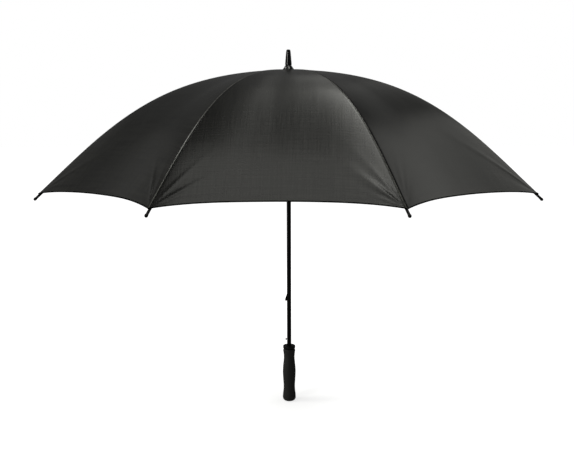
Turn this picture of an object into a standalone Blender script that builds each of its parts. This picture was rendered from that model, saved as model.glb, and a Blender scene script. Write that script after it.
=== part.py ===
"""Golf umbrella, open, held upright on its grip.

Frame: origin at the centre of the grip's foot face, +Z up the shaft. The two latch springs are on the -X side.
Eight ribs stand 45 degrees apart; the X and Y axes each run through the middle of a canopy gore.
"""

import math

import bpy
import numpy as np

# Shaft and grip
SHAFT_R = 0.0058
SHAFT_BORE_R = 0.0047
SHAFT_BOTTOM_Z = 0.0050
SHAFT_TOP_Z = 0.8954
FIT_R = 0.0062
GRIP_TOP_Z = 0.1545
END_CAP_R = 0.0105

# Rib frame
RIBS = 8
TIP_CIRCLE_R = 0.641
CANOPY_EDGE = 0.978
APEX_Z = 0.8873
DROP = (0.4760, -0.7033, 1.5245, -0.8073)
HINGE_R = 0.0125
HINGE_Z = 0.8714
RIB_RADIUS = 0.0018
RIB_OFFSET = 0.0046
EYE_HALF = 0.0009
EYE_LENGTH = 0.0130
EYE_HOLE_R = 0.0011
WIRE_R = 0.0006

# Linkage
STRETCHER_JOINT_R = 0.250
STRETCHER_JOINT_DROP = 0.0097
RUNNER_PIVOT_Z = 0.615

# Latches
BOTTOM_CATCH_Z = 0.2873
WINDOW_BELOW_PIVOT = 0.0447
TOP_CATCH_Z = RUNNER_PIVOT_Z - WINDOW_BELOW_PIVOT
CATCH_HALF_LENGTH = 0.0097
CATCH_PROUD = 0.0050
CATCH_HALF_WIDTH = 0.0012
STOP_PIN_Z = 0.1713

# Canopy
CLOTH = 0.0004
CLOTH_SAG = 0.0145
HEM_RISE = 0.022
CENTRE_HOLE_R = 0.0072
GORE_ACROSS = 8
GORE_ALONG = 16


def clear_scene():
    for item in list(bpy.data.objects):
        bpy.data.objects.remove(item, do_unlink=True)


def make(name, points, faces):
    mesh = bpy.data.meshes.new(name)
    mesh.from_pydata([tuple(float(c) for c in p) for p in points], [], faces)
    mesh.validate()
    mesh.update()
    item = bpy.data.objects.new(name, mesh)
    bpy.context.scene.collection.objects.link(item)
    return item


def revolve(name, outline, steps, closed=True):
    """A solid of revolution about Z. A closed outline joins its last point to its first."""
    points = []
    rings = []
    for r, z in outline:
        if r < 1e-9:
            rings.append([len(points)])
            points.append((0.0, 0.0, z))
            continue
        ring = []
        for i in range(steps):
            a = 2 * math.pi * i / steps
            ring.append(len(points))
            points.append((r * math.cos(a), r * math.sin(a), z))
        rings.append(ring)
    faces = []
    count = len(rings)
    for k in range(count if closed else count - 1):
        low = rings[k]
        high = rings[(k + 1) % count]
        if len(low) == 1 and len(high) == 1:
            continue
        for i in range(steps):
            j = (i + 1) % steps
            if len(low) == 1:
                faces.append((low[0], high[j], high[i]))
            elif len(high) == 1:
                faces.append((low[i], low[j], high[0]))
            else:
                faces.append((low[i], low[j], high[j], high[i]))
    return make(name, points, faces)


def box(name, low, high):
    x0, y0, z0 = low
    x1, y1, z1 = high
    points = [
        (x0, y0, z0),
        (x1, y0, z0),
        (x1, y1, z0),
        (x0, y1, z0),
        (x0, y0, z1),
        (x1, y0, z1),
        (x1, y1, z1),
        (x0, y1, z1),
    ]
    faces = [
        (0, 3, 2, 1),
        (4, 5, 6, 7),
        (0, 1, 5, 4),
        (1, 2, 6, 5),
        (2, 3, 7, 6),
        (3, 0, 4, 7),
    ]
    return make(name, points, faces)


def rod(name, centre, axis, radius, length, steps=12):
    """A solid cylinder centred on a point, along an axis."""
    axis = np.array(axis, float) / np.linalg.norm(axis)
    side = np.cross(axis, (0.0, 0.0, 1.0))
    if np.linalg.norm(side) < 1e-6:
        side = np.array((1.0, 0.0, 0.0))
    side = side / np.linalg.norm(side)
    up = np.cross(axis, side)
    points = []
    for end in (-0.5, 0.5):
        for i in range(steps):
            a = 2 * math.pi * i / steps
            spot = np.array(centre) + axis * end * length
            points.append(spot + radius * (math.cos(a) * side + math.sin(a) * up))
    faces = [tuple(reversed(range(steps))), tuple(range(steps, 2 * steps))]
    for i in range(steps):
        j = (i + 1) % steps
        faces.append((i, j, steps + j, steps + i))
    return make(name, points, faces)


def face_out(item):
    """Turn every face outward."""
    mesh = item.data
    mesh.calc_loop_triangles()
    volume = 0.0
    for t in mesh.loop_triangles:
        a, b, c = (mesh.vertices[i].co for i in t.vertices)
        volume += a.dot(b.cross(c))
    if volume < 0:
        mesh.flip_normals()


def combine(item, cutter, operation):
    """Apply one exact boolean and remove the cutter."""
    face_out(item)
    face_out(cutter)
    cutter.hide_render = True
    cutter.display_type = "WIRE"
    modifier = item.modifiers.new(operation.lower(), "BOOLEAN")
    modifier.operation = operation
    modifier.solver = "EXACT"
    modifier.object = cutter
    graph = bpy.context.evaluated_depsgraph_get()
    mesh = bpy.data.meshes.new_from_object(item.evaluated_get(graph))
    item.modifiers.clear()
    item.data = mesh
    mesh.name = item.name
    bpy.data.objects.remove(cutter, do_unlink=True)


def rib_angle(k):
    """Direction of rib k, counted from -Y towards +X."""
    return math.radians(22.5 + 45.0 * (k - 1))


def outward(angle):
    return np.array((math.sin(angle), -math.cos(angle), 0.0))


def sideways(angle):
    return np.array((math.cos(angle), math.sin(angle), 0.0))


def turned(item, name, angle):
    """A copy of a piece built in the XZ plane, turned to stand along a rib's direction."""
    e_r = outward(angle)
    e_t = sideways(angle)
    points = [v.co.x * e_r + v.co.y * e_t + np.array((0.0, 0.0, v.co.z)) for v in item.data.vertices]
    faces = [tuple(p.vertices) for p in item.data.polygons]
    copy = make(name, points, faces)
    face_out(copy)
    return copy


def canopy_z(r):
    """Height of the canopy over a rib at radius r."""
    u = r / TIP_CIRCLE_R
    drop = sum(c * u ** (n + 2) for n, c in enumerate(DROP))
    return APEX_Z - TIP_CIRCLE_R * drop


def canopy_slope(r):
    return (canopy_z(r + 1e-4) - canopy_z(r - 1e-4)) / 2e-4


def below_canopy(r, depth):
    """The point at a depth under the canopy line at radius r, square to it."""
    s = canopy_slope(r)
    n = math.hypot(1.0, s)
    return np.array((r + depth * s / n, canopy_z(r) - depth / n))


def rib_line():
    """Centreline of a rib in its own plane, from the hinge to the tip."""
    line = [
        np.array((HINGE_R - 0.0020, HINGE_Z - 0.0002)),
        np.array((HINGE_R, HINGE_Z)),
        np.array((HINGE_R + EYE_LENGTH - 0.0030, HINGE_Z + 0.0028)),
        np.array((HINGE_R + EYE_LENGTH, HINGE_Z + 0.0040)),
    ]
    for r in np.linspace(0.060, TIP_CIRCLE_R - 0.0090, 16):
        line.append(below_canopy(r, RIB_OFFSET))
    return line


def sweep(name, line, sizes, sides=8):
    """An oval bar along a line in the XZ plane. sizes holds half the width across Y and half the depth."""
    points = []
    count = len(line)
    for i, p in enumerate(line):
        a = line[max(i - 1, 0)]
        b = line[min(i + 1, count - 1)]
        d = (b - a) / np.linalg.norm(b - a)
        n = np.array((-d[1], d[0]))
        half_y, half_n = sizes[i]
        for k in range(sides):
            t = 2 * math.pi * (k + 0.5) / sides
            q = p + n * half_n * math.sin(t)
            points.append((q[0], half_y * math.cos(t), q[1]))
    faces = [tuple(range(sides)), tuple(range((count - 1) * sides, count * sides))[::-1]]
    for i in range(count - 1):
        for k in range(sides):
            j = (k + 1) % sides
            faces.append((i * sides + k, (i + 1) * sides + k, (i + 1) * sides + j, i * sides + j))
    item = make(name, points, faces)
    face_out(item)
    return item


def bar(name, start, end, stations):
    """A rectangular bar between two points in the XZ plane, with (distance, half width, half depth) stations."""
    d = (end - start) / np.linalg.norm(end - start)
    n = np.array((-d[1], d[0]))
    points = []
    for along, half_y, half_n in stations:
        p = start + d * along
        for sy, sn in ((-1, -1), (1, -1), (1, 1), (-1, 1)):
            q = p + n * half_n * sn
            points.append((q[0], half_y * sy, q[1]))
    count = len(stations)
    faces = [(3, 2, 1, 0), tuple(4 * (count - 1) + i for i in range(4))]
    for i in range(count - 1):
        for k in range(4):
            j = (k + 1) % 4
            faces.append((4 * i + k, 4 * i + j, 4 * i + 4 + j, 4 * i + 4 + k))
    item = make(name, points, faces)
    face_out(item)
    return item


def build_shaft():
    shaft = revolve(
        "shaft",
        [
            (SHAFT_BORE_R, SHAFT_BOTTOM_Z),
            (SHAFT_R, SHAFT_BOTTOM_Z),
            (SHAFT_R, SHAFT_TOP_Z),
            (SHAFT_BORE_R, SHAFT_TOP_Z),
        ],
        32,
    )
    for z in (BOTTOM_CATCH_Z, TOP_CATCH_Z):
        reach = CATCH_HALF_LENGTH + 0.0006
        wide = CATCH_HALF_WIDTH + 0.0004
        cutter = box("slot", (-0.0080, -wide, z - reach), (-0.0030, wide, z + reach))
        combine(shaft, cutter, "DIFFERENCE")
    hole = rod("hole", (-0.0052, 0, STOP_PIN_Z), (1, 0, 0), 0.0016, 0.0050, 16)
    combine(shaft, hole, "DIFFERENCE")
    face_out(shaft)


def build_grip():
    foam = revolve(
        "grip_foam",
        [
            (FIT_R, 0.0050),
            (END_CAP_R + 0.0004, 0.0042),
            (END_CAP_R + 0.0004, 0.0004),
            (0.0128, 0.0006),
            (0.0155, 0.0026),
            (0.0173, 0.0062),
            (0.0177, 0.0105),
            (0.0172, 0.0180),
            (0.0160, 0.0280),
            (0.0154, 0.0367),
            (0.0157, 0.0480),
            (0.0166, 0.0615),
            (0.0174, 0.0745),
            (0.0175, 0.0840),
            (0.0169, 0.0955),
            (0.0157, 0.1072),
            (0.0147, 0.1180),
            (0.0148, 0.1265),
            (0.0158, 0.1360),
            (0.0165, 0.1408),
            (0.0157, 0.1434),
            (0.0136, 0.1441),
            (FIT_R, 0.1441),
        ],
        40,
    )
    face_out(foam)
    cap = revolve(
        "grip_end_cap",
        [
            (0.0, 0.0),
            (0.0088, 0.0),
            (0.0102, 0.0006),
            (END_CAP_R, 0.0016),
            (END_CAP_R, 0.0038),
            (0.0058, 0.0042),
            (0.0044, 0.0044),
            (0.0044, 0.0220),
            (0.0036, 0.0240),
            (0.0, 0.0240),
        ],
        32,
        closed=False,
    )
    face_out(cap)
    collar = revolve(
        "grip_collar",
        [
            (FIT_R, 0.1445),
            (0.0138, 0.1445),
            (0.0140, 0.1460),
            (0.0159, 0.1467),
            (0.0165, 0.1478),
            (0.0165, 0.1525),
            (0.0157, 0.1540),
            (0.0134, GRIP_TOP_Z),
            (FIT_R, GRIP_TOP_Z),
        ],
        40,
    )
    face_out(collar)
    pin = rod("stop_pin", (-0.0066, 0, STOP_PIN_Z), (1, 0, 0), 0.0013, 0.0058, 16)
    head = rod("head", (-0.0085, 0, STOP_PIN_Z), (1, 0, 0), 0.0030, 0.0024, 20)
    combine(pin, head, "UNION")
    pin.name = "stop_pin"
    face_out(pin)


def hub(name, top, bottom, radius, ring_z, outline):
    """A slotted hub: eight full-height slots hold the thin ends of the bars."""
    item = revolve(name, outline, 48)
    for k in range(1, RIBS + 1):
        angle = rib_angle(k)
        blank = box("slot", (0.0099, -0.0013, bottom - 0.001), (radius + 0.003, 0.0013, top + 0.001))
        cutter = turned(blank, "cutter", angle)
        bpy.data.objects.remove(blank, do_unlink=True)
        combine(item, cutter, "DIFFERENCE")
    if ring_z is not None:
        combine(item, torus("groove", HINGE_R, WIRE_R + 0.0004, ring_z, 48, 8), "DIFFERENCE")
    face_out(item)
    return item


def torus(name, major, minor, z, around, section):
    outline = []
    for i in range(section):
        a = 2 * math.pi * i / section
        outline.append((major + minor * math.cos(a), z + minor * math.sin(a)))
    item = revolve(name, outline, around)
    face_out(item)
    return item


def build_crown():
    hub(
        "crown",
        0.8794,
        0.8654,
        0.0170,
        HINGE_Z,
        [
            (FIT_R, 0.8654),
            (0.0160, 0.8654),
            (0.0170, 0.8664),
            (0.0170, 0.8784),
            (0.0160, 0.8794),
            (FIT_R, 0.8794),
        ],
    )
    torus("crown_wire", HINGE_R, WIRE_R, HINGE_Z, 48, 8)
    plate = revolve(
        "crown_washer",
        [
            (FIT_R, 0.8834),
            (0.0130, 0.8834),
            (0.0134, 0.8840),
            (0.0130, 0.8854),
            (FIT_R, 0.8859),
        ],
        32,
    )
    face_out(plate)
    neck = revolve(
        "crown_neck",
        [
            (FIT_R, 0.8797),
            (0.0088, 0.8797),
            (0.0088, 0.8831),
            (FIT_R, 0.8831),
        ],
        32,
    )
    face_out(neck)


def build_spike():
    spike = revolve(
        "ferrule_spike",
        [
            (FIT_R, 0.8882),
            (0.0142, 0.8882),
            (0.0146, 0.8888),
            (0.0143, 0.8900),
            (0.0128, 0.8920),
            (0.0108, 0.8946),
            (0.0094, 0.8970),
            (0.0087, 0.8990),
            (0.0078, 0.8996),
            (0.0078, 0.9006),
            (0.0086, 0.9012),
            (0.0082, 0.9064),
            (0.0074, 0.9164),
            (0.0065, 0.9274),
            (0.0057, 0.9364),
            (0.0050, 0.9384),
            (0.0038, 0.9394),
            (0.0020, 0.9397),
            (0.0, 0.9397),
            (0.0, 0.8960),
            (FIT_R, 0.8960),
        ],
        32,
    )
    face_out(spike)


def build_runner():
    z = RUNNER_PIVOT_Z
    runner = hub(
        "runner",
        z + 0.0050,
        z - 0.0120,
        0.0170,
        None,
        [
            (FIT_R, z - 0.0625),
            (0.0104, z - 0.0625),
            (0.0112, z - 0.0617),
            (0.0112, z - 0.0575),
            (0.0095, z - 0.0563),
            (0.0095, z - 0.0135),
            (0.0160, z - 0.0105),
            (0.0170, z - 0.0095),
            (0.0170, z + 0.0040),
            (0.0160, z + 0.0050),
            (FIT_R, z + 0.0050),
        ],
    )
    middle = z - WINDOW_BELOW_PIVOT
    reach = CATCH_HALF_LENGTH + 0.0004
    window = box("window", (-0.0200, -0.0022, middle - reach), (-0.0040, 0.0022, middle + reach))
    combine(runner, window, "DIFFERENCE")
    runner.name = "runner"
    face_out(runner)


def build_catch(name, z, up):
    """A latch spring: its long slope faces away from the stop, and up is 1 where the stop faces up."""
    inner = -0.0042
    outer = -(SHAFT_R + CATCH_PROUD)
    half = CATCH_HALF_LENGTH
    side = [
        (inner, -half),
        (-SHAFT_R, -half),
        (outer, half - 0.0040),
        (outer, half - 0.0008),
        (outer + 0.0008, half),
        (inner, half),
    ]
    points = []
    for y in (-CATCH_HALF_WIDTH, CATCH_HALF_WIDTH):
        for x, along in side:
            points.append((x, y, z + along * up))
    count = len(side)
    faces = [tuple(range(count)), tuple(range(count, 2 * count))[::-1]]
    for i in range(count):
        j = (i + 1) % count
        faces.append((i, count + i, count + j, j))
    face_out(make(name, points, faces))


def build_rib_set():
    line = rib_line()
    sizes = []
    for i in range(len(line)):
        if i == 0:
            sizes.append((EYE_HALF, 0.0014))
        elif i < 3:
            sizes.append((EYE_HALF, 0.0024))
        elif i == 3:
            sizes.append((0.0013, 0.0021))
        else:
            sizes.append((RIB_RADIUS, RIB_RADIUS))
    rib = sweep("rib", line, sizes)
    eye = rod("eye", (HINGE_R, 0, HINGE_Z), (0, 1, 0), EYE_HOLE_R, 0.01, 12)
    combine(rib, eye, "DIFFERENCE")

    start = below_canopy(TIP_CIRCLE_R - 0.0220, RIB_OFFSET)
    end = below_canopy(TIP_CIRCLE_R - 0.0016, RIB_OFFSET)
    d = (end - start) / np.linalg.norm(end - start)
    length = float(np.linalg.norm(end - start))
    outline = [
        (0.0, length + 0.0006),
        (0.0018, length),
        (0.0030, length - 0.0014),
        (0.0034, length - 0.0034),
        (0.0030, length - 0.0054),
        (0.0025, length - 0.0068),
        (0.0025, 0.0030),
        (0.0024, 0.0),
        (0.0021, 0.0),
        (0.0021, length - 0.0100),
        (0.0, length - 0.0092),
    ]
    tip = revolve("tip", outline, 12, closed=False)
    up = np.array((-d[1], d[0]))
    for v in tip.data.vertices:
        x, y, along = v.co
        q = start + d * along + up * x
        v.co = (q[0], y, q[1])
    face_out(tip)

    joint = below_canopy(STRETCHER_JOINT_R, STRETCHER_JOINT_DROP)
    centre = below_canopy(STRETCHER_JOINT_R, RIB_OFFSET)
    s = canopy_slope(STRETCHER_JOINT_R)
    along = np.array((1.0, s)) / math.hypot(1.0, s)
    down = np.array((along[1], -along[0]))
    clip = bar(
        "clip",
        joint - along * 0.0075,
        joint + along * 0.0075,
        [(0.0, 0.0034, 0.0028), (0.0150, 0.0034, 0.0028)],
    )
    band = bar(
        "band",
        centre - along * 0.0060,
        centre + along * 0.0060,
        [(0.0, 0.0029, 0.0026), (0.0120, 0.0029, 0.0026)],
    )
    combine(clip, band, "UNION")
    tunnel = rod(
        "tunnel",
        (centre[0], 0, centre[1]),
        (along[0], 0, along[1]),
        RIB_RADIUS + 0.0003,
        0.04,
        16,
    )
    combine(clip, tunnel, "DIFFERENCE")
    gap_centre = joint + down * 0.0010
    gap = bar(
        "gap",
        gap_centre - along * 0.02,
        gap_centre + along * 0.02,
        [(0.0, 0.0013, 0.0032), (0.04, 0.0013, 0.0032)],
    )
    combine(clip, gap, "DIFFERENCE")
    pivot = rod("pivot", (joint[0], 0, joint[1]), (0, 1, 0), 0.0008, 0.0056, 12)
    combine(clip, pivot, "UNION")

    runner_end = np.array((HINGE_R, RUNNER_PIVOT_Z))
    length = float(np.linalg.norm(runner_end - joint))
    stretcher = bar(
        "stretcher",
        joint,
        runner_end,
        [
            (-0.0019, EYE_HALF, 0.0010),
            (-0.0010, EYE_HALF, 0.0019),
            (0.0110, EYE_HALF, 0.0020),
            (0.0150, 0.0016, 0.0022),
            (length - 0.0180, 0.0016, 0.0022),
            (length - 0.0140, EYE_HALF, 0.0020),
            (length + 0.0008, EYE_HALF, 0.0019),
            (length + 0.0018, EYE_HALF, 0.0010),
        ],
    )
    eye = rod("eye", (joint[0], 0, joint[1]), (0, 1, 0), EYE_HOLE_R, 0.01, 12)
    combine(stretcher, eye, "DIFFERENCE")

    for k in range(1, RIBS + 1):
        angle = rib_angle(k)
        turned(rib, f"rib_{k}", angle)
        turned(tip, f"rib_tip_{k}", angle)
        turned(clip, f"rib_joint_{k}", angle)
        turned(stretcher, f"stretcher_{k}", angle)
    for item in (rib, tip, clip, stretcher):
        bpy.data.objects.remove(item, do_unlink=True)


def gore_point(k, across, along):
    """A point on the cloth between rib k and the next, with across and along each from 0 to 1."""
    bow = 4 * across * (1 - across)
    edge = TIP_CIRCLE_R * CANOPY_EDGE
    r = CENTRE_HOLE_R + (edge - HEM_RISE * bow - CENTRE_HOLE_R) * along
    a = rib_angle(k)
    b = rib_angle(k + 1)
    left = r * outward(a)
    right = r * outward(b)
    p = left * (1 - across) + right * across
    p[2] = canopy_z(r)
    slope = canopy_slope(r)
    middle = outward((a + b) / 2)
    normal = np.array((0.0, 0.0, 1.0)) - slope * middle
    normal = normal / np.linalg.norm(normal)
    sag = CLOTH_SAG * bow * (r / edge) ** 2
    return p - normal * sag, normal


def build_gore(k):
    columns = GORE_ACROSS + 1
    rows = GORE_ALONG + 1
    half_gap = 0.00015
    points = []
    for side in (0.0, -CLOTH):
        for j in range(rows):
            along = (j / GORE_ALONG) ** 0.8
            for i in range(columns):
                p, n = gore_point(k, i / GORE_ACROSS, along)
                if i == 0:
                    p = p + sideways(rib_angle(k)) * half_gap
                if i == GORE_ACROSS:
                    p = p - sideways(rib_angle(k + 1)) * half_gap
                points.append(p + n * side)
    size = columns * rows
    faces = []
    for j in range(GORE_ALONG):
        for i in range(GORE_ACROSS):
            a = j * columns + i
            faces.append((a, a + 1, a + columns + 1, a + columns))
            b = a + size
            faces.append((b, b + columns, b + columns + 1, b + 1))
    edge = [i for i in range(columns)]
    edge += [j * columns + GORE_ACROSS for j in range(1, rows)]
    edge += [GORE_ALONG * columns + i for i in range(GORE_ACROSS - 1, -1, -1)]
    edge += [j * columns for j in range(GORE_ALONG - 1, 0, -1)]
    for m in range(len(edge)):
        a = edge[m]
        b = edge[(m + 1) % len(edge)]
        faces.append((b, a, a + size, b + size))
    face_out(make(f"canopy_gore_{k}", points, faces))


clear_scene()
build_shaft()
build_grip()
build_crown()
build_spike()
build_runner()
build_catch("top_catch", TOP_CATCH_Z, 1)
build_catch("bottom_catch", BOTTOM_CATCH_Z, -1)
build_rib_set()
for number in range(1, RIBS + 1):
    build_gore(number)
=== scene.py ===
"""Looks of the golf umbrella: eight wedges of cloth in six bands each, and the smooth turned pieces."""

import math

import bpy
import numpy as np
from mathutils import Matrix, Vector


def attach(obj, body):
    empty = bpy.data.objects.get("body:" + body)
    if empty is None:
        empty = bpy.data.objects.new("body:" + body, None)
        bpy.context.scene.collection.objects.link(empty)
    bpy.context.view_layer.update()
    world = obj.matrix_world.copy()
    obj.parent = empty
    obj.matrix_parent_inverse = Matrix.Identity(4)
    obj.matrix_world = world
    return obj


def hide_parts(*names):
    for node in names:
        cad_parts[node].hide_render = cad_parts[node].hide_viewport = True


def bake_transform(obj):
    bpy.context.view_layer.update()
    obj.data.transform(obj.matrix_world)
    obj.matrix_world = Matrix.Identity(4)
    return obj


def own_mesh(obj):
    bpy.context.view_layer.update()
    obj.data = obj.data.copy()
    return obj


TIP_R, EDGE = 0.641, 0.978
APEX_Z = 0.8873
DROP = (0.4760, -0.7033, 1.5245, -0.8073)
SAG, HEM_RISE = 0.0145, 0.022
HOLE_R = 0.0072
RIB_OFFSET = 0.0046
EDGE_R = TIP_R * EDGE
RIB_GAP = 2 * math.sin(math.radians(22.5))  # between neighbouring ribs, as a share of the radius
GORE_LENGTH, HEM_WIDTH = 0.72, 0.49  # a gore laid flat

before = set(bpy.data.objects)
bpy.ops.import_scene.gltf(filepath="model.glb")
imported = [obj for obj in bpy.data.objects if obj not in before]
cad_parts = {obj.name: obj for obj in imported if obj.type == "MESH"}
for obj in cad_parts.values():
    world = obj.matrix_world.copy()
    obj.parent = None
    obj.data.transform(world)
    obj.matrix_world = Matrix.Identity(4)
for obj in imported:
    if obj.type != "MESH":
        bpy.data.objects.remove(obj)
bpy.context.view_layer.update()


# ---------------------------------------------------------------- shape of the cloth
def rib_angle(k):
    return math.radians(22.5 + 45.0 * (k - 1))


def canopy_z(r):
    u = r / TIP_R
    return APEX_Z - TIP_R * sum(c * u ** (n + 2) for n, c in enumerate(DROP))


def canopy_slope(r):
    return (canopy_z(r + 1e-4) - canopy_z(r - 1e-4)) / 2e-4


def below_canopy(r, depth):
    s = canopy_slope(r)
    n = math.hypot(1.0, s)
    return np.array((r + depth * s / n, canopy_z(r) - depth / n))


# Tension folds that run from a gore's corner into the cloth:
# (degrees from the seam, height, length, half width in degrees).
LEFT, RIGHT = 0, 1
FOLDS = {
    (8, LEFT): [(24, 0.0011, 0.085, 2.4), (47, 0.0014, 0.085, 3.2), (66, 0.0005, 0.05, 5)],
    (8, RIGHT): [(20, 0.0008, 0.105, 3.6), (39, 0.0020, 0.105, 6.0), (58, 0.0007, 0.06, 4)],
    (1, LEFT): [
        (12, -0.0007, 0.09, 3),
        (26, -0.0008, 0.10, 3),
        (38, -0.0006, 0.08, 3.5),
        (60, 0.0006, 0.06, 7),
    ],
    (1, RIGHT): [(12, 0.0008, 0.07, 4), (26, 0.0012, 0.15, 3.5), (45, -0.0006, 0.07, 6)],
    (7, RIGHT): [(15, 0.0009, 0.07, 3), (33, 0.0016, 0.095, 2.4), (55, -0.0006, 0.06, 6)],
    (7, LEFT): [(10, 0.0012, 0.05, 5), (34, 0.0008, 0.11, 3.5), (55, 0.0006, 0.06, 6)],
}


def folds_of(gore, side):
    """The listed folds, or three drawn at random from a fixed seed where none are listed."""
    if (gore, side) in FOLDS:
        return FOLDS[(gore, side)]
    rng = np.random.default_rng(gore * 2 + side)
    out = []
    for n, a in enumerate((14, 30, 50)):
        height = 0.0012 if (n + gore + side) % 3 else -0.0008
        angle = a + rng.uniform(-4, 4)
        height *= rng.uniform(0.7, 1.2)
        out.append((angle, height, rng.uniform(0.06, 0.12), rng.uniform(3, 5)))
    return out


def relief(gore, u, v, r, wide):
    """How far the cloth stands out from its taut shape."""
    h = np.zeros_like(u)
    for side in (LEFT, RIGHT):
        across = u if side == LEFT else 1 - u
        t = across * wide
        # height above the straight line between the corners, from which the hem rises in the middle
        a = (1 - v) * GORE_LENGTH + 0.028 * 4 * u * (1 - u)
        rho = np.hypot(a, t) + 1e-6
        angle = np.degrees(np.arctan2(t, a))
        for deg, height, reach, half in folds_of(gore, side):
            ridge = np.exp(-(((angle - deg) / (half + 0.11 / rho)) ** 2))
            grow = 1 - np.exp(-((rho / 0.022) ** 1.5))
            h += height * ridge * grow * np.exp(-((rho / reach) ** 2))
    # slow unevenness of cloth under tension, along the gore
    phase = gore * 1.7
    bands = 0.55 * np.sin(u * 9.0 + phase) + 0.45 * np.sin(u * 17.0 + 2.1 * phase + 1.3 * v)
    h += 0.00035 * bands * np.sin(np.pi * np.clip(u, 0, 1)) * np.clip(v * 3, 0, 1) * (1.1 - 0.5 * v)
    near = np.minimum(u, 1 - u) * wide
    h *= 1 - np.exp(-((near / 0.012) ** 1.3))
    # the felled seam: a narrow groove
    h -= 0.0007 * np.exp(-((near / 0.0026) ** 2)) * np.clip(r / 0.06, 0, 1)
    return h


def gore_surface(gore, u, v):
    """Points on the cloth between rib `gore` and the next, for shares u across and v down, 0 to 1."""
    bow = 4 * u * (1 - u)
    r = HOLE_R + (EDGE_R - HEM_RISE * bow - HOLE_R) * v
    a, b = rib_angle(gore), rib_angle(gore + 1)
    left = np.array((math.sin(a), -math.cos(a)))
    right = np.array((math.sin(b), -math.cos(b)))
    lean = a + (b - a) * u
    x = r * ((1 - u) * left[0] + u * right[0])
    y = r * ((1 - u) * left[1] + u * right[1])
    z = canopy_z(r)
    s = canopy_slope(r)
    n = np.sqrt(1 + s * s)
    nx, ny, nz = -s * np.sin(lean) / n, s * np.cos(lean) / n, 1 / n
    wide = r * RIB_GAP
    out = relief(gore, u, v, r, wide) - SAG * bow**2 * (r / EDGE_R) ** 2
    return np.stack([x + nx * out, y + ny * out, z + nz * out], -1), wide


def gore_with_normals(gore, u, v):
    p, wide = gore_surface(gore, u, v)
    e = 2e-4
    u0, u1 = np.clip(u - e, 0, 1), np.clip(u + e, 0, 1)
    v0, v1 = np.clip(v - e, 0, 1), np.clip(v + e, 0, 1)
    du = gore_surface(gore, u1, v)[0] - gore_surface(gore, u0, v)[0]
    dv = gore_surface(gore, u, v1)[0] - gore_surface(gore, u, v0)[0]
    n = np.cross(du, dv)
    n /= np.linalg.norm(n, axis=-1, keepdims=True) + 1e-12
    n *= np.sign(n[..., 2:3] + 1e-9)
    return p, n, wide


def new_mesh(name, points, faces, material=None, smooth=True):
    mesh = bpy.data.meshes.new(name)
    mesh.from_pydata([tuple(map(float, p)) for p in points], [], faces)
    mesh.update()
    if smooth:
        mesh.polygons.foreach_set("use_smooth", [True] * len(mesh.polygons))
    obj = bpy.data.objects.new(name, mesh)
    bpy.context.scene.collection.objects.link(obj)
    if material:
        mesh.materials.append(material)
    return obj


# ---------------------------------------------------------------- materials
def material(name):
    m = bpy.data.materials.new(name)
    m.use_nodes = True
    tree = m.node_tree
    return m, tree, tree.nodes["Principled BSDF"]


def node(tree, kind, **values):
    n = tree.nodes.new("ShaderNode" + kind)
    for key, value in values.items():
        setattr(n, key, value)
    return n


def maths(tree, operation, a, b=None, c=None, clamp=False):
    n = node(tree, "Math", operation=operation, use_clamp=clamp)
    for i, x in enumerate((a, b, c)):
        if x is None:
            continue
        if isinstance(x, (int, float)):
            n.inputs[i].default_value = x
        else:
            tree.links.new(x, n.inputs[i])
    return n.outputs[0]


def noise(tree, vector, scale, detail=2.0, rough=0.5):
    n = node(tree, "TexNoise")
    n.inputs["Scale"].default_value = scale
    n.inputs["Detail"].default_value = detail
    n.inputs["Roughness"].default_value = rough
    tree.links.new(vector, n.inputs["Vector"])
    return n.outputs["Fac"]


def mapped(tree, vector, scale):
    n = node(tree, "Mapping")
    n.inputs["Scale"].default_value = scale
    tree.links.new(vector, n.inputs["Vector"])
    return n.outputs["Vector"]


def ramp(tree, fac, stops):
    n = node(tree, "ValToRGB")
    r = n.color_ramp
    r.elements[0].position, r.elements[0].color = stops[0][0], (*stops[0][1], 1)
    r.elements[1].position, r.elements[1].color = stops[1][0], (*stops[1][1], 1)
    for at, colour in stops[2:]:
        e = r.elements.new(at)
        e.color = (*colour, 1)
    tree.links.new(fac, n.inputs["Fac"])
    return n.outputs["Color"]


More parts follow.
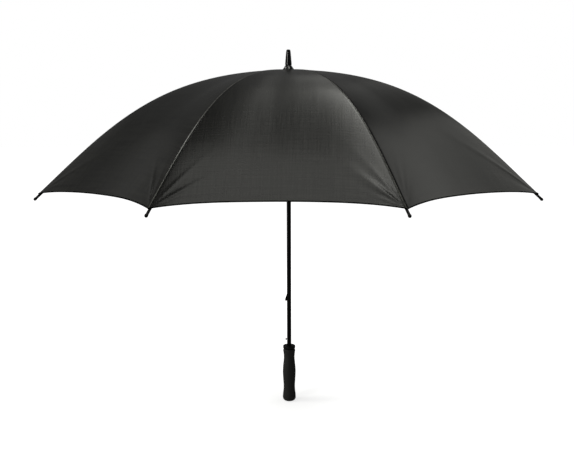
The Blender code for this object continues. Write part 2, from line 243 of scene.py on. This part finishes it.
def cloth_material(name, base):
    """Woven polyester.

    UV map `metres` holds distance from the seam and along the gore; `gore` holds the share across and down.
    """
    m, tree, p = material(name)
    metres = node(tree, "UVMap", uv_map="metres").outputs[0]
    share = node(tree, "UVMap", uv_map="gore").outputs[0]
    xy = node(tree, "SeparateXYZ")
    tree.links.new(metres, xy.inputs[0])
    t, along = xy.outputs[0], xy.outputs[1]
    uv = node(tree, "SeparateXYZ")
    tree.links.new(share, uv.inputs[0])
    u, v = uv.outputs[0], uv.outputs[1]
    # distance across the gore from its centre line, which the threads follow; the hem is 0.48 m across
    across = maths(tree, "MULTIPLY", maths(tree, "MULTIPLY", maths(tree, "SUBTRACT", u, 0.5), v), 0.48)
    grain = node(tree, "CombineXYZ")
    tree.links.new(across, grain.inputs[0])
    tree.links.new(along, grain.inputs[1])
    tree.links.new(u, grain.inputs[2])
    grain = grain.outputs[0]

    # painted sheen: each gore's colour is painted lighter towards one seam than the other, standing in for
    # the sheen along that seam
    painted_sheen = ramp(tree, u, [(0.0, (0.86,) * 3), (1.0, (1.22,) * 3), (0.5, (0.98,) * 3), (0.8, (1.10,) * 3)])
    painted_sheen_level = node(tree, "RGBToBW")
    tree.links.new(painted_sheen, painted_sheen_level.inputs[0])
    bands = noise(tree, mapped(tree, grain, (16.0, 2.2, 0.0)), 1.0, 2.0)
    weft = noise(tree, mapped(tree, grain, (9.0, 330.0, 0.0)), 1.0, 1.0)
    warp = noise(tree, mapped(tree, grain, (330.0, 11.0, 0.0)), 1.0, 1.0)
    k = maths(tree, "MULTIPLY", painted_sheen_level.outputs[0], maths(tree, "MULTIPLY_ADD", bands, 0.24, 0.88))
    k = maths(tree, "MULTIPLY", k, maths(tree, "MULTIPLY_ADD", weft, 1.9, 0.05))
    k = maths(tree, "MULTIPLY", k, maths(tree, "MULTIPLY_ADD", warp, 1.7, 0.15))

    # felled seam: on one side of the join the colour is painted dark, partly a dark join and partly painted
    # shade of the groove's shaded wall; on the other side lies a painted highlight strip, where the groove's
    # lit wall catches the light
    dist = maths(tree, "ABSOLUTE", t)
    right = maths(tree, "GREATER_THAN", t, -0.0002)
    shaded_join = maths(tree, "MULTIPLY", maths(tree, "LESS_THAN", dist, 0.0026), right)
    left = maths(tree, "SUBTRACT", 1.0, right)
    painted_highlight_strip = maths(tree, "MULTIPLY", maths(tree, "LESS_THAN", dist, 0.0034), left)
    k = maths(tree, "MULTIPLY", k, maths(tree, "MULTIPLY_ADD", shaded_join, -0.90, 1.0))
    k = maths(tree, "MULTIPLY", k, maths(tree, "MULTIPLY_ADD", painted_highlight_strip, 4.2, 1.0))
    mix = node(tree, "VectorMath", operation="SCALE")
    mix.inputs[0].default_value = base
    tree.links.new(k, mix.inputs["Scale"])
    tree.links.new(mix.outputs[0], p.inputs["Base Color"])

    # over and under threads
    weft_height, warp_height = maths(tree, "MULTIPLY", weft, 0.00008), maths(tree, "MULTIPLY", warp, 0.00008)
    threads = maths(tree, "ADD", weft_height, warp_height)
    height = maths(tree, "MULTIPLY_ADD", bands, 0.0008, threads)
    bump = node(tree, "Bump")
    bump.inputs["Strength"].default_value = 0.6
    bump.inputs["Distance"].default_value = 1.0
    tree.links.new(height, bump.inputs["Height"])
    tree.links.new(bump.outputs[0], p.inputs["Normal"])
    tree.links.new(maths(tree, "MULTIPLY_ADD", shaded_join, 0.7, 0.25), p.inputs["Roughness"])
    p.inputs["Specular IOR Level"].default_value = 0.16
    return m


def plain(name, colour, rough, level=0.5, scale=90.0, speckle=0.25, bump=0.0, coat=0.0):
    """A solid colour with slight unevenness, for plastic, paint and foam."""
    m, tree, p = material(name)
    where = node(tree, "TexCoord").outputs["Object"]
    n = noise(tree, where, scale, 3.0, 0.6)
    mix = node(tree, "VectorMath", operation="SCALE")
    mix.inputs[0].default_value = colour
    tree.links.new(maths(tree, "MULTIPLY_ADD", n, speckle, 1 - speckle / 2), mix.inputs["Scale"])
    tree.links.new(mix.outputs[0], p.inputs["Base Color"])
    tree.links.new(maths(tree, "MULTIPLY_ADD", n, 0.08, rough - 0.04), p.inputs["Roughness"])
    p.inputs["Specular IOR Level"].default_value = level
    p.inputs["Coat Weight"].default_value = coat
    p.inputs["Coat Roughness"].default_value = 0.06
    if bump:
        b = node(tree, "Bump")
        b.inputs["Strength"].default_value = 0.6
        b.inputs["Distance"].default_value = bump
        tree.links.new(noise(tree, where, 1400.0, 3.0, 0.65), b.inputs["Height"])
        tree.links.new(b.outputs[0], p.inputs["Normal"])
    return m


CLOTH = cloth_material("canopy_cloth", (0.0090, 0.0090, 0.0083))
HEM = plain("hem_binding", (0.006, 0.006, 0.006), 0.75, 0.25)
GLOSS = plain("gloss_black", (0.003, 0.003, 0.003), 0.12, 0.25, coat=0.2)
PLASTIC = plain("black_plastic", (0.0035, 0.0035, 0.0035), 0.38, 0.14)
PAINT = plain("black_metal", (0.0018, 0.0018, 0.0018), 0.36, 0.07)
FIBREGLASS = plain("fibreglass", (0.010, 0.010, 0.010), 0.36, 0.4)
FOAM = plain("grip_foam", (0.0150, 0.0150, 0.0142), 0.80, 0.32, speckle=0.5, bump=0.0004)
STEEL = plain("spring_steel", (0.030, 0.030, 0.032), 0.35, 0.5)
STEEL.node_tree.nodes["Principled BSDF"].inputs["Metallic"].default_value = 0.9


# ---------------------------------------------------------------- canopy
NEAR = (0.0, 0.003, 0.006, 0.009, 0.013, 0.018, 0.025, 0.035)
COLUMNS = list(NEAR) + list(np.linspace(0.044, 0.26, 25)) + list(np.linspace(0.28, 0.5, 12))
# Each wedge of cloth is made in bands down the rib, that meet edge to edge when the canopy is open.
# Each band is given the share of its width that it keeps when the canopy is shut, so that neighbouring
# wedges meet again round the shut spindle. Part-way between, they part.
# The top band has no share.
BANDS = (
    (np.linspace(0, 0.10, 10), None),
    (np.linspace(0.10, 0.20, 7), 0.75),
    (np.linspace(0.20, 0.34, 9), 0.55),
    (np.linspace(0.34, 0.54, 12), 0.42),
    (np.linspace(0.54, 0.72, 11), 0.28),
    (np.concatenate([np.linspace(0.72, 0.76, 4)[:-1], np.linspace(0.76, 1.0, 58)]), 0.16),
)
LAP, LAP_DEPTH = 0.0055, 0.0004
LAP_STEPS = np.array((0.1, 0.4, 0.7, 1.0))
HEM_STEPS, HEM_ROLL = 8, 0.0013


def gore_length(v):
    return v * GORE_LENGTH


def hem_roll(gore, u):
    """Points and normals of a turned hem: a small roll along the edge, HEM_STEPS of them at each column."""
    edge, face, _ = gore_with_normals(gore, u, np.ones_like(u))
    inner, _, _ = gore_with_normals(gore, u, np.full_like(u, 0.993))
    back = inner - edge
    back /= np.linalg.norm(back, axis=-1, keepdims=True)
    points, normals = [], []
    for i in range(len(u)):
        for s in range(HEM_STEPS):
            turn = 2 * math.pi * s / HEM_STEPS
            oval = math.cos(turn) * back[i] * 1.25 + math.sin(turn) * face[i] * 0.75
            points.append(edge[i] + back[i] * HEM_ROLL * 0.4 + HEM_ROLL * oval)
            normals.append(math.cos(turn) * back[i] + math.sin(turn) * face[i])
    return points, normals


def hold_wedge(obj, k, band):
    """Leaves the top band where it is built, and puts every other one on rib k with a mesh of its own."""
    down, keep = BANDS[band]
    a = rib_angle(k)
    if keep is None:
        reach = 0.9 * EDGE_R * down[-1]
        ends = [(r * math.sin(a), -r * math.cos(a), canopy_z(r)) for r in (0.012, reach)]
        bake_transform(obj)
    else:
        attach(obj, f"rib_{k}")
        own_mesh(obj)


def build_wedge(k, band):
    """A band of cloth on both sides of rib k, to the middle of each gore. The last one has the hem."""
    down, keep = BANDS[band]
    cols = np.array(COLUMNS)
    points, normals, metres, share, faces, slots = [], [], [], [], [], []
    rows = len(down)
    for side in (-1, 1):
        gore = k if side > 0 else (k - 2) % 8 + 1
        u = cols if side > 0 else 1 - cols
        lapped = keep is None and side > 0
        uu, vv = np.meshgrid(np.append(u, [0.5] * len(LAP_STEPS)) if lapped else u, down)
        if lapped:
            # a seam allowance that reaches under the next wedge, tucked a little below it
            chord = RIB_GAP * (HOLE_R + (EDGE_R - HOLE_R) * vv[:, -1:])
            reach = LAP * (0.15 + 0.85 * np.sin(np.pi * vv[:, -1:] / down[-1]))
            uu[:, -len(LAP_STEPS):] += LAP_STEPS * np.minimum(reach / chord, 0.3)
        count = uu.shape[1]
        p, n, wide = gore_with_normals(gore, uu, vv)
        p -= n * (LAP_DEPTH * (uu > 0.5) * lapped)[..., None]
        base = len(points)
        points += list(p.reshape(-1, 3))
        normals += list(n.reshape(-1, 3))
        t = np.minimum(uu, 1 - uu) * wide * side
        metres += list(zip(t.ravel(), gore_length(vv).ravel()))
        share += list(zip(uu.ravel(), vv.ravel()))
        for j in range(rows - 1):
            for i in range(count - 1):
                a = base + j * count + i
                f = (a, a + count, a + count + 1, a + 1)
                faces.append(f if side > 0 else f[::-1])
                slots.append(0)
        if down[-1] < 1:
            continue
        start = len(points)
        hem_points, hem_normals = hem_roll(gore, u)
        points += hem_points
        normals += hem_normals
        for i in range(count):
            metres += [(cols[i], GORE_LENGTH)] * HEM_STEPS
            share += [(float(u[i]), 1.0)] * HEM_STEPS
        for i in range(count - 1):
            for s in range(HEM_STEPS):
                a, b = start + i * HEM_STEPS + s, start + i * HEM_STEPS + (s + 1) % HEM_STEPS
                c, d = a + HEM_STEPS, b + HEM_STEPS
                faces.append((a, b, d, c) if side < 0 else (a, c, d, b))
                slots.append(1)
    obj = new_mesh(f"canopy_cloth_{k}_{band + 1}", points, faces)
    mesh = obj.data
    mesh.materials.append(CLOTH)
    mesh.materials.append(HEM)
    mesh.polygons.foreach_set("material_index", slots)
    loops = np.zeros(len(mesh.loops), int)
    mesh.loops.foreach_get("vertex_index", loops)
    for name, values in (("metres", metres), ("gore", share)):
        layer = mesh.uv_layers.new(name=name)
        layer.data.foreach_set("uv", np.array(values)[loops].ravel())
    mesh.normals_split_custom_set_from_vertices([tuple(n) for n in normals])
    hold_wedge(obj, k, band)
    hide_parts(f"canopy_gore_{k}")
    return obj


canopy = {(k, band): build_wedge(k, band) for k in range(1, 9) for band in range(len(BANDS))}


# ---------------------------------------------------------------- turned pieces
def smooth_outline(points, cuts=4):
    """A finer outline: a smooth curve through the points."""
    out = []
    pts = [np.array(p) for p in points]
    for i in range(len(pts) - 1):
        a = pts[max(i - 1, 0)]
        b, c = pts[i], pts[i + 1]
        d = pts[min(i + 2, len(pts) - 1)]
        for s in range(cuts):
            t = s / cuts
            square, cube = 2 * a - 5 * b + 4 * c - d, 3 * b - a - 3 * c + d
            q = 0.5 * (2 * b + (c - a) * t + square * t * t + cube * t**3)
            out.append(q)
    out.append(pts[-1])
    return out


def lathe(name, outline, mat, body, replaces, steps=96, place=None):
    """A turned piece from (radius, height) points. Only the last of them may lie on the axis."""
    points, faces, rings = [], [], []
    for r, z in outline:
        ring = []
        for i in range(steps if r > 1e-6 else 1):
            a = 2 * math.pi * i / steps
            ring.append(len(points))
            q = np.array((max(r, 0) * math.cos(a), max(r, 0) * math.sin(a), z))
            points.append(place(q) if place else q)
        rings.append(ring)
    for low, high in zip(rings, rings[1:]):
        for i in range(steps):
            j = (i + 1) % steps
            if len(high) == 1:
                faces.append((low[i], low[j], high[0]))
            else:
                faces.append((low[i], low[j], high[j], high[i]))
    obj = new_mesh(name, points, faces, mat)
    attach(obj, body)
    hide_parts(replaces)
    return obj


foam = lathe(
    "grip_foam_skin",
    [(0.0062, 0.0050), (0.0109, 0.0042), (0.0109, 0.0004)]
    + smooth_outline(
        [
            (0.0128, 0.0004),
            (0.0155, 0.0024),
            (0.0173, 0.0060),
            (0.0177, 0.0105),
            (0.0172, 0.0180),
            (0.0160, 0.0280),
            (0.0154, 0.0367),
            (0.0157, 0.0480),
            (0.0166, 0.0615),
            (0.0174, 0.0745),
            (0.0175, 0.0840),
            (0.0169, 0.0955),
            (0.0157, 0.1072),
            (0.0147, 0.1180),
            (0.0148, 0.1265),
            (0.0158, 0.1360),
            (0.0165, 0.1404),
            (0.0161, 0.1428),
            (0.0148, 0.1441),
        ],
        5,
    )
    + [(0.0062, 0.1441)],
    FOAM,
    "frame",
    "grip_foam",
)

collar = lathe(
    "grip_collar_smooth",
    [(0.0062, 0.1445), (0.0134, 0.1445), (0.0136, 0.1460), (0.0155, 0.1465)]
    + smooth_outline(
        [
            (0.0161, 0.1469),
            (0.0165, 0.1480),
            (0.0165, 0.1522),
            (0.0159, 0.1538),
            (0.0138, 0.1545),
        ],
        4,
    )
    + [(0.0062, 0.1545)],
    PLASTIC,
    "frame",
    "grip_collar",
)
spike = lathe(
    "spike_smooth",
    [(0.0062, 0.8882), (0.0138, 0.8882)]
    + smooth_outline(
        [
            (0.0143, 0.8884),
            (0.0146, 0.8890),
            (0.0141, 0.8904),
            (0.0126, 0.8924),
            (0.0108, 0.8949),
            (0.0095, 0.8972),
            (0.0087, 0.8988),
        ],
        5,
    )
    + [(0.0078, 0.8992), (0.0076, 0.9000), (0.0078, 0.9008)]
    + smooth_outline(
        [
            (0.0085, 0.9011),
            (0.0084, 0.9044),
            (0.0076, 0.9144),
            (0.0066, 0.9264),
            (0.0057, 0.9350),
            (0.0049, 0.9381),
            (0.0034, 0.9394),
            (0.0016, 0.9397),
            (0.0, 0.9397),
        ],
        5,
    ),
    GLOSS,
    "frame",
    "ferrule_spike",
)


def build_tip(k):
    start = below_canopy(TIP_R - 0.0220, RIB_OFFSET)
    end = below_canopy(TIP_R - 0.0016, RIB_OFFSET)
    length = float(np.linalg.norm(end - start))
    d = (end - start) / length
    up = np.array((-d[1], d[0]))
    a = rib_angle(k)
    e_r = np.array((math.sin(a), -math.cos(a), 0))
    e_t = np.array((math.cos(a), math.sin(a), 0))

    def place(q):
        at = start + d * q[2] + up * q[0]
        return at[0] * e_r + q[1] * e_t + np.array((0, 0, at[1]))

    outline = [(0.0021, length - 0.0100), (0.0021, 0.0), (0.0026, 0.0)]
    outline += smooth_outline(
        [
            (0.0029, 0.0006),
            (0.0029, length - 0.0074),
            (0.0031, length - 0.0060),
            (0.0035, length - 0.0048),
            (0.0036, length - 0.0034),
            (0.0031, length - 0.0016),
            (0.0021, length - 0.0002),
            (0.0009, length + 0.0005),
            (0.0, length + 0.0006),
        ],
        4,
    )
    obj = lathe(f"tip_smooth_{k}", outline, PLASTIC, f"rib_{k}", f"rib_tip_{k}", 24, place)


for number in range(1, 9):
    build_tip(number)


# ---------------------------------------------------------------- the CAD pieces that are shown as they are
LOOKS = {
    "shaft": PAINT,
    "grip_end_cap": PLASTIC,
    "stop_pin": HEM,
    "crown": PLASTIC,
    "crown_wire": STEEL,
    "crown_neck": PLASTIC,
    "crown_washer": PLASTIC,
    "runner": PLASTIC,
    "top_catch": STEEL,
    "bottom_catch": PAINT,
}
for name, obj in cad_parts.items():
    look = LOOKS.get(name)
    if name.startswith("rib_joint"):
        look = PLASTIC
    elif name.startswith("stretcher"):
        look = PAINT
    elif name.startswith("rib_") and "tip" not in name:
        look = FIBREGLASS
    if look:
        obj.data.materials.clear()
        obj.data.materials.append(look)


# ---------------------------------------------------------------- floor, light and camera
WORLD_FILL, FLOOR_FILL = 0.11, 0.06
FLOOR_HALF = 40
floor_mat, floor_tree, floor_shader = material("floor")
floor_shader.inputs["Base Color"].default_value = (0.42, 0.42, 0.42, 1)
floor_shader.inputs["Emission Color"].default_value = (1, 1, 1, 1)
# seen by the camera the floor glows near white; near the foot its glow is lowered, a painted shade that lets
# the contact shadow from the foot lamp show
seen = node(floor_tree, "LightPath").outputs["Is Camera Ray"]
far = node(floor_tree, "VectorMath", operation="LENGTH")
floor_tree.links.new(node(floor_tree, "TexCoord").outputs["Object"], far.inputs[0])
far = maths(floor_tree, "MULTIPLY_ADD", far.outputs["Value"], 1.2, 0.68, clamp=True)
glow = maths(floor_tree, "MULTIPLY_ADD", seen, far, FLOOR_FILL)
floor_tree.links.new(glow, floor_shader.inputs["Emission Strength"])
floor_shader.inputs["Roughness"].default_value = 0.9
floor_shader.inputs["Specular IOR Level"].default_value = 0.0
corners = [(x * FLOOR_HALF, y * FLOOR_HALF, 0) for x, y in ((-1, -1), (1, -1), (1, 1), (-1, 1))]
floor = new_mesh("floor", corners, [(0, 1, 2, 3)], floor_mat, smooth=False)

world = bpy.data.worlds.new("studio")
bpy.context.scene.world = world
world.use_nodes = True
studio_tree = world.node_tree
back = studio_tree.nodes["Background"]
back.inputs["Color"].default_value = (1, 1, 1, 1)
seen = node(studio_tree, "LightPath").outputs["Is Camera Ray"]
glow = maths(studio_tree, "MULTIPLY_ADD", seen, 1.0 - WORLD_FILL, WORLD_FILL)
studio_tree.links.new(glow, back.inputs["Strength"])


def lamp(name, size, tall, radiance, place, aim):
    """A soft box of the given width and height, shining from `place` towards `aim`."""
    data = bpy.data.lights.new(name, "AREA")
    data.shape = "RECTANGLE"
    data.size = size
    data.size_y = tall
    data.energy = radiance * math.pi * size * tall
    data.color = (1.0, 1.0, 0.94)
    obj = bpy.data.objects.new(name, data)
    obj.location = place
    obj.rotation_mode = "QUATERNION"
    obj.rotation_quaternion = (Vector(place) - Vector(aim)).to_track_quat("Z", "Y")
    obj.visible_camera = False
    bpy.context.scene.collection.objects.link(obj)


lamp("overhead_soft", 0.34, 2.6, 3.0, (0.14, 0.25, 3.2), (0.14, 0.25, 0.0))
lamp("overhead_bright", 0.40, 2.5, 8.5, (0.46, 0.1, 3.2), (0.46, 0.1, 0.0))
lamp("front_high", 0.80, 1.2, 3.3, (-0.20, -1.15, 3.2), (-0.20, -1.15, 0.0))
lamp("left_high", 0.6, 0.6, 8.0, (-1.5, 0.5, 3.0), (-0.3, -0.3, 0.7))
lamp("rear", 0.50, 1.7, 0.56, (0.12, 2.35, 3.35), (0.05, -0.15, 0.86))
lamp("rear_right", 1.8, 1.9, 0.11, (1.6, 2.9, 2.0), (0.2, 0.0, 0.8))
lamp("right_rear", 2.2, 1.9, 0.84, (2.75, 1.25, 2.40), (0.0, 0.0, 0.7))
lamp("left_rear", 1.8, 1.6, 0.16, (-2.6, 1.3, 1.6), (-0.3, 0.0, 0.7))
lamp("left_front", 0.35, 1.3, 20.0, (-2.0, -2.4, 1.3), (0.0, 0.0, 0.8))
lamp("foot", 0.12, 0.12, 20.0, (-0.35, -0.03, 0.42), (0.0, 0.0, 0.0))

cam_data = bpy.data.cameras.new("camera")
camera = bpy.data.objects.new("camera", cam_data)
bpy.context.scene.collection.objects.link(camera)
bpy.context.scene.camera = camera
cam_data.sensor_width = 36
cam_data.lens = 45.14
YAW, PITCH, ROLL = 0.149, 7.168, 0.176
bearing = math.radians(2.12)
away = 1.900
camera.location = (away * math.sin(bearing), -away * math.cos(bearing), 0.722)
turn = Matrix.Rotation(bearing + math.radians(YAW), 4, "Z")
turn = turn @ Matrix.Rotation(math.radians(90 - PITCH), 4, "X")
turn = turn @ Matrix.Rotation(math.radians(-ROLL), 4, "Z")
camera.rotation_euler = turn.to_euler()

scene = bpy.context.scene
scene.view_settings.view_transform = "Standard"
scene.view_settings.look = "None"
